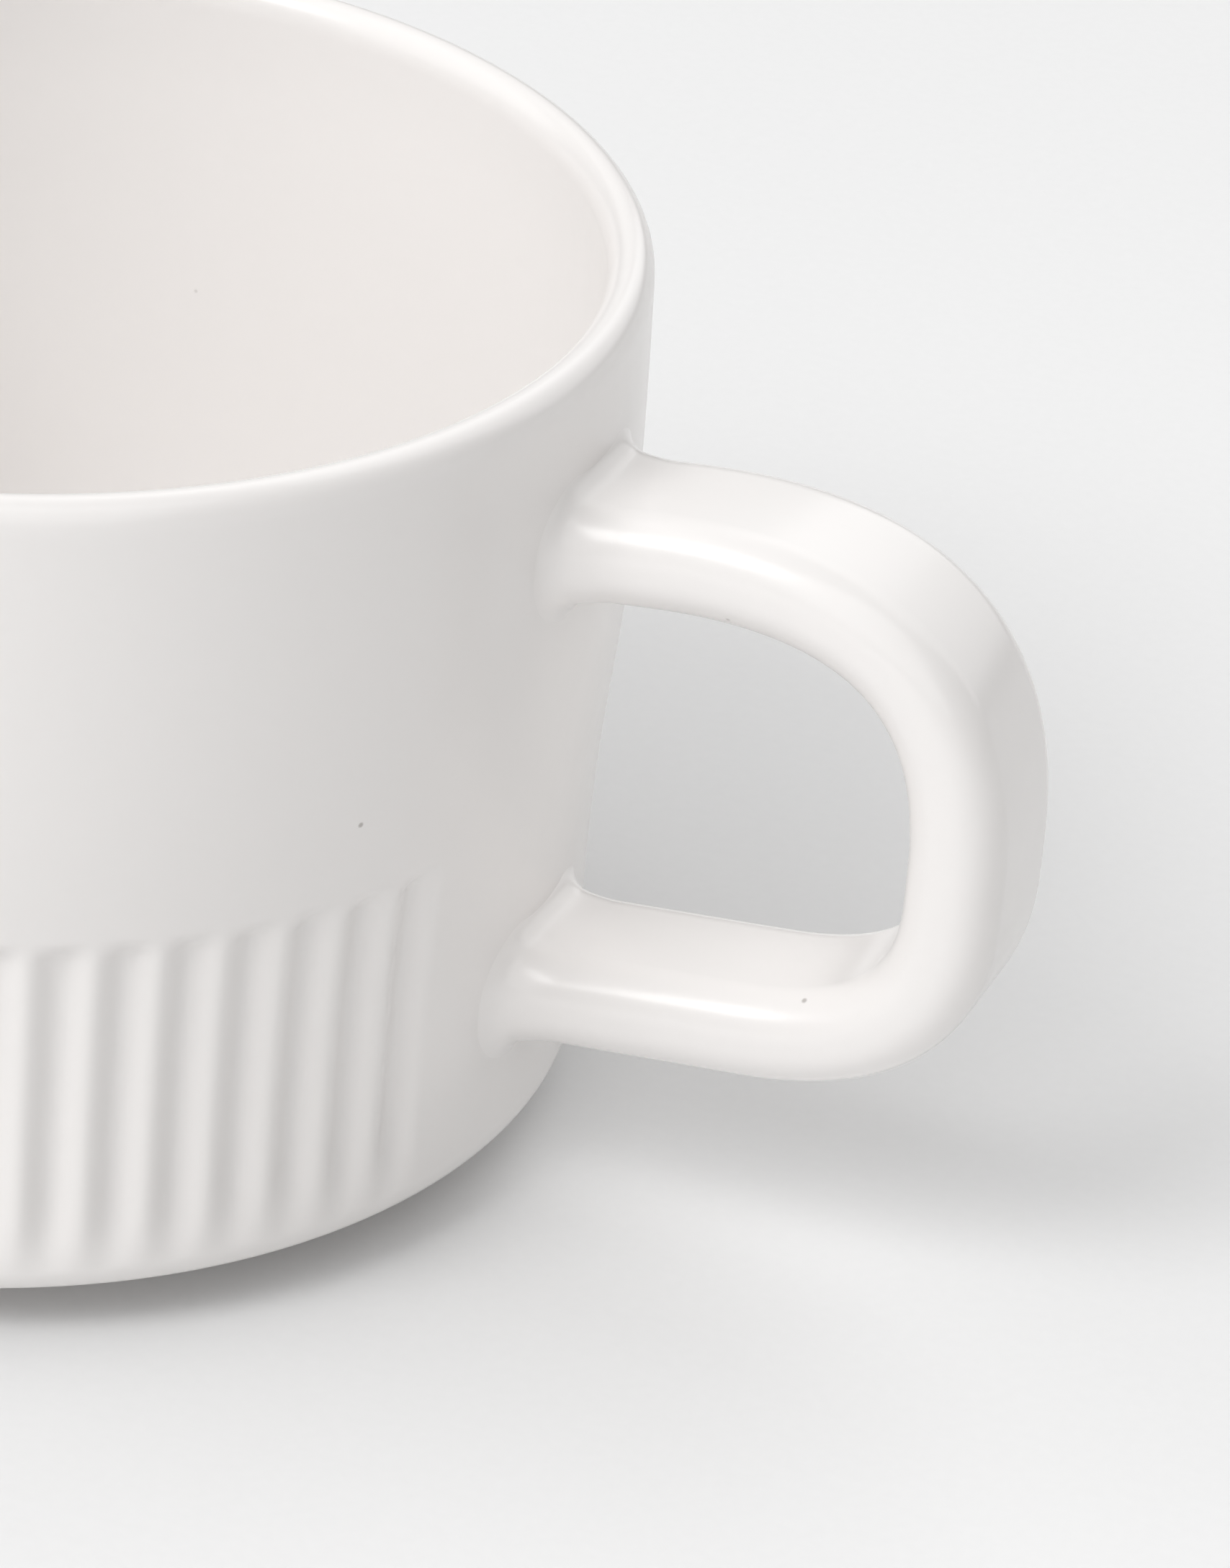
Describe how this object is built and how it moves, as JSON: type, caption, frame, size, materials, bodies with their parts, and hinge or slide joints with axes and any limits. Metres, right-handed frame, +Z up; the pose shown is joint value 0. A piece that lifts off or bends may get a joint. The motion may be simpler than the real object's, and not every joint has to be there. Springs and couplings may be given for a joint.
{
  "type": "espresso cup",
  "caption": "Straight-sided espresso cup with a round lip, upright flutes round its lower wall, a one-finger strap handle stuck on at two coved joints and a low foot ring set in under the bowl.",
  "frame": {"origin": "on the table, under the centre of the bounding box of the cup with its handle; the bowl's upright axis is at x = -11.7 mm, y = 0", "axes": "+Z up along the bowl's axis, +X from the bowl towards the handle, +Y across the handle, the plane y = 0 being the mirror plane"},
  "size_m": [0.0875, 0.0642, 0.0458],
  "materials": {
    "white_glaze": "warm white glossy glaze, bare on the foot ring"
  },
  "bodies": {
    "root": {"cup_body": "white_glaze", "handle": "white_glaze", "upper_slip_joint": "white_glaze", "lower_slip_joint": "white_glaze"}
  },
  "joints": []
}
